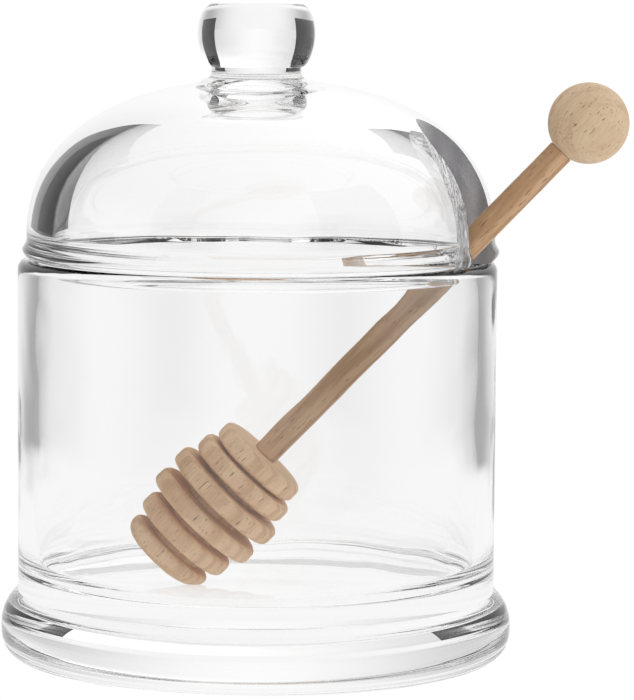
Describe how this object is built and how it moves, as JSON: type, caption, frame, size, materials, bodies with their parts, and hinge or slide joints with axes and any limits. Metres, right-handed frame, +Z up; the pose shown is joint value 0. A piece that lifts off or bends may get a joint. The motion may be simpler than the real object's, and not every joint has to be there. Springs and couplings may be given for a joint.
{
  "type": "honey jar with dipper",
  "caption": "Empty clear glass jar on a rounded foot, with a slotted domed glass lid and knob, and a wooden dipper with a grooved head and ball end leaning out through the slot.",
  "frame": {"origin": "centre of the jar's flat underside", "axes": "+Z up along the jar's axis, -Y towards the viewer, +X towards the side where the dipper's ball sticks out"},
  "size_m": [0.1338, 0.1112, 0.1415],
  "materials": {
    "jar_glass": "clear, fire polished",
    "lid_glass": "clear, fire polished, with ground faces in the slot",
    "head_wood": "sanded beech, bare",
    "rod_wood": "sanded beech, bare",
    "ball_wood": "sanded beech, bare"
  },
  "bodies": {
    "root": {"jar": "jar_glass", "lid": "lid_glass", "dipper_head": "head_wood", "dipper_rod": "rod_wood", "dipper_ball": "ball_wood"}
  },
  "joints": []
}
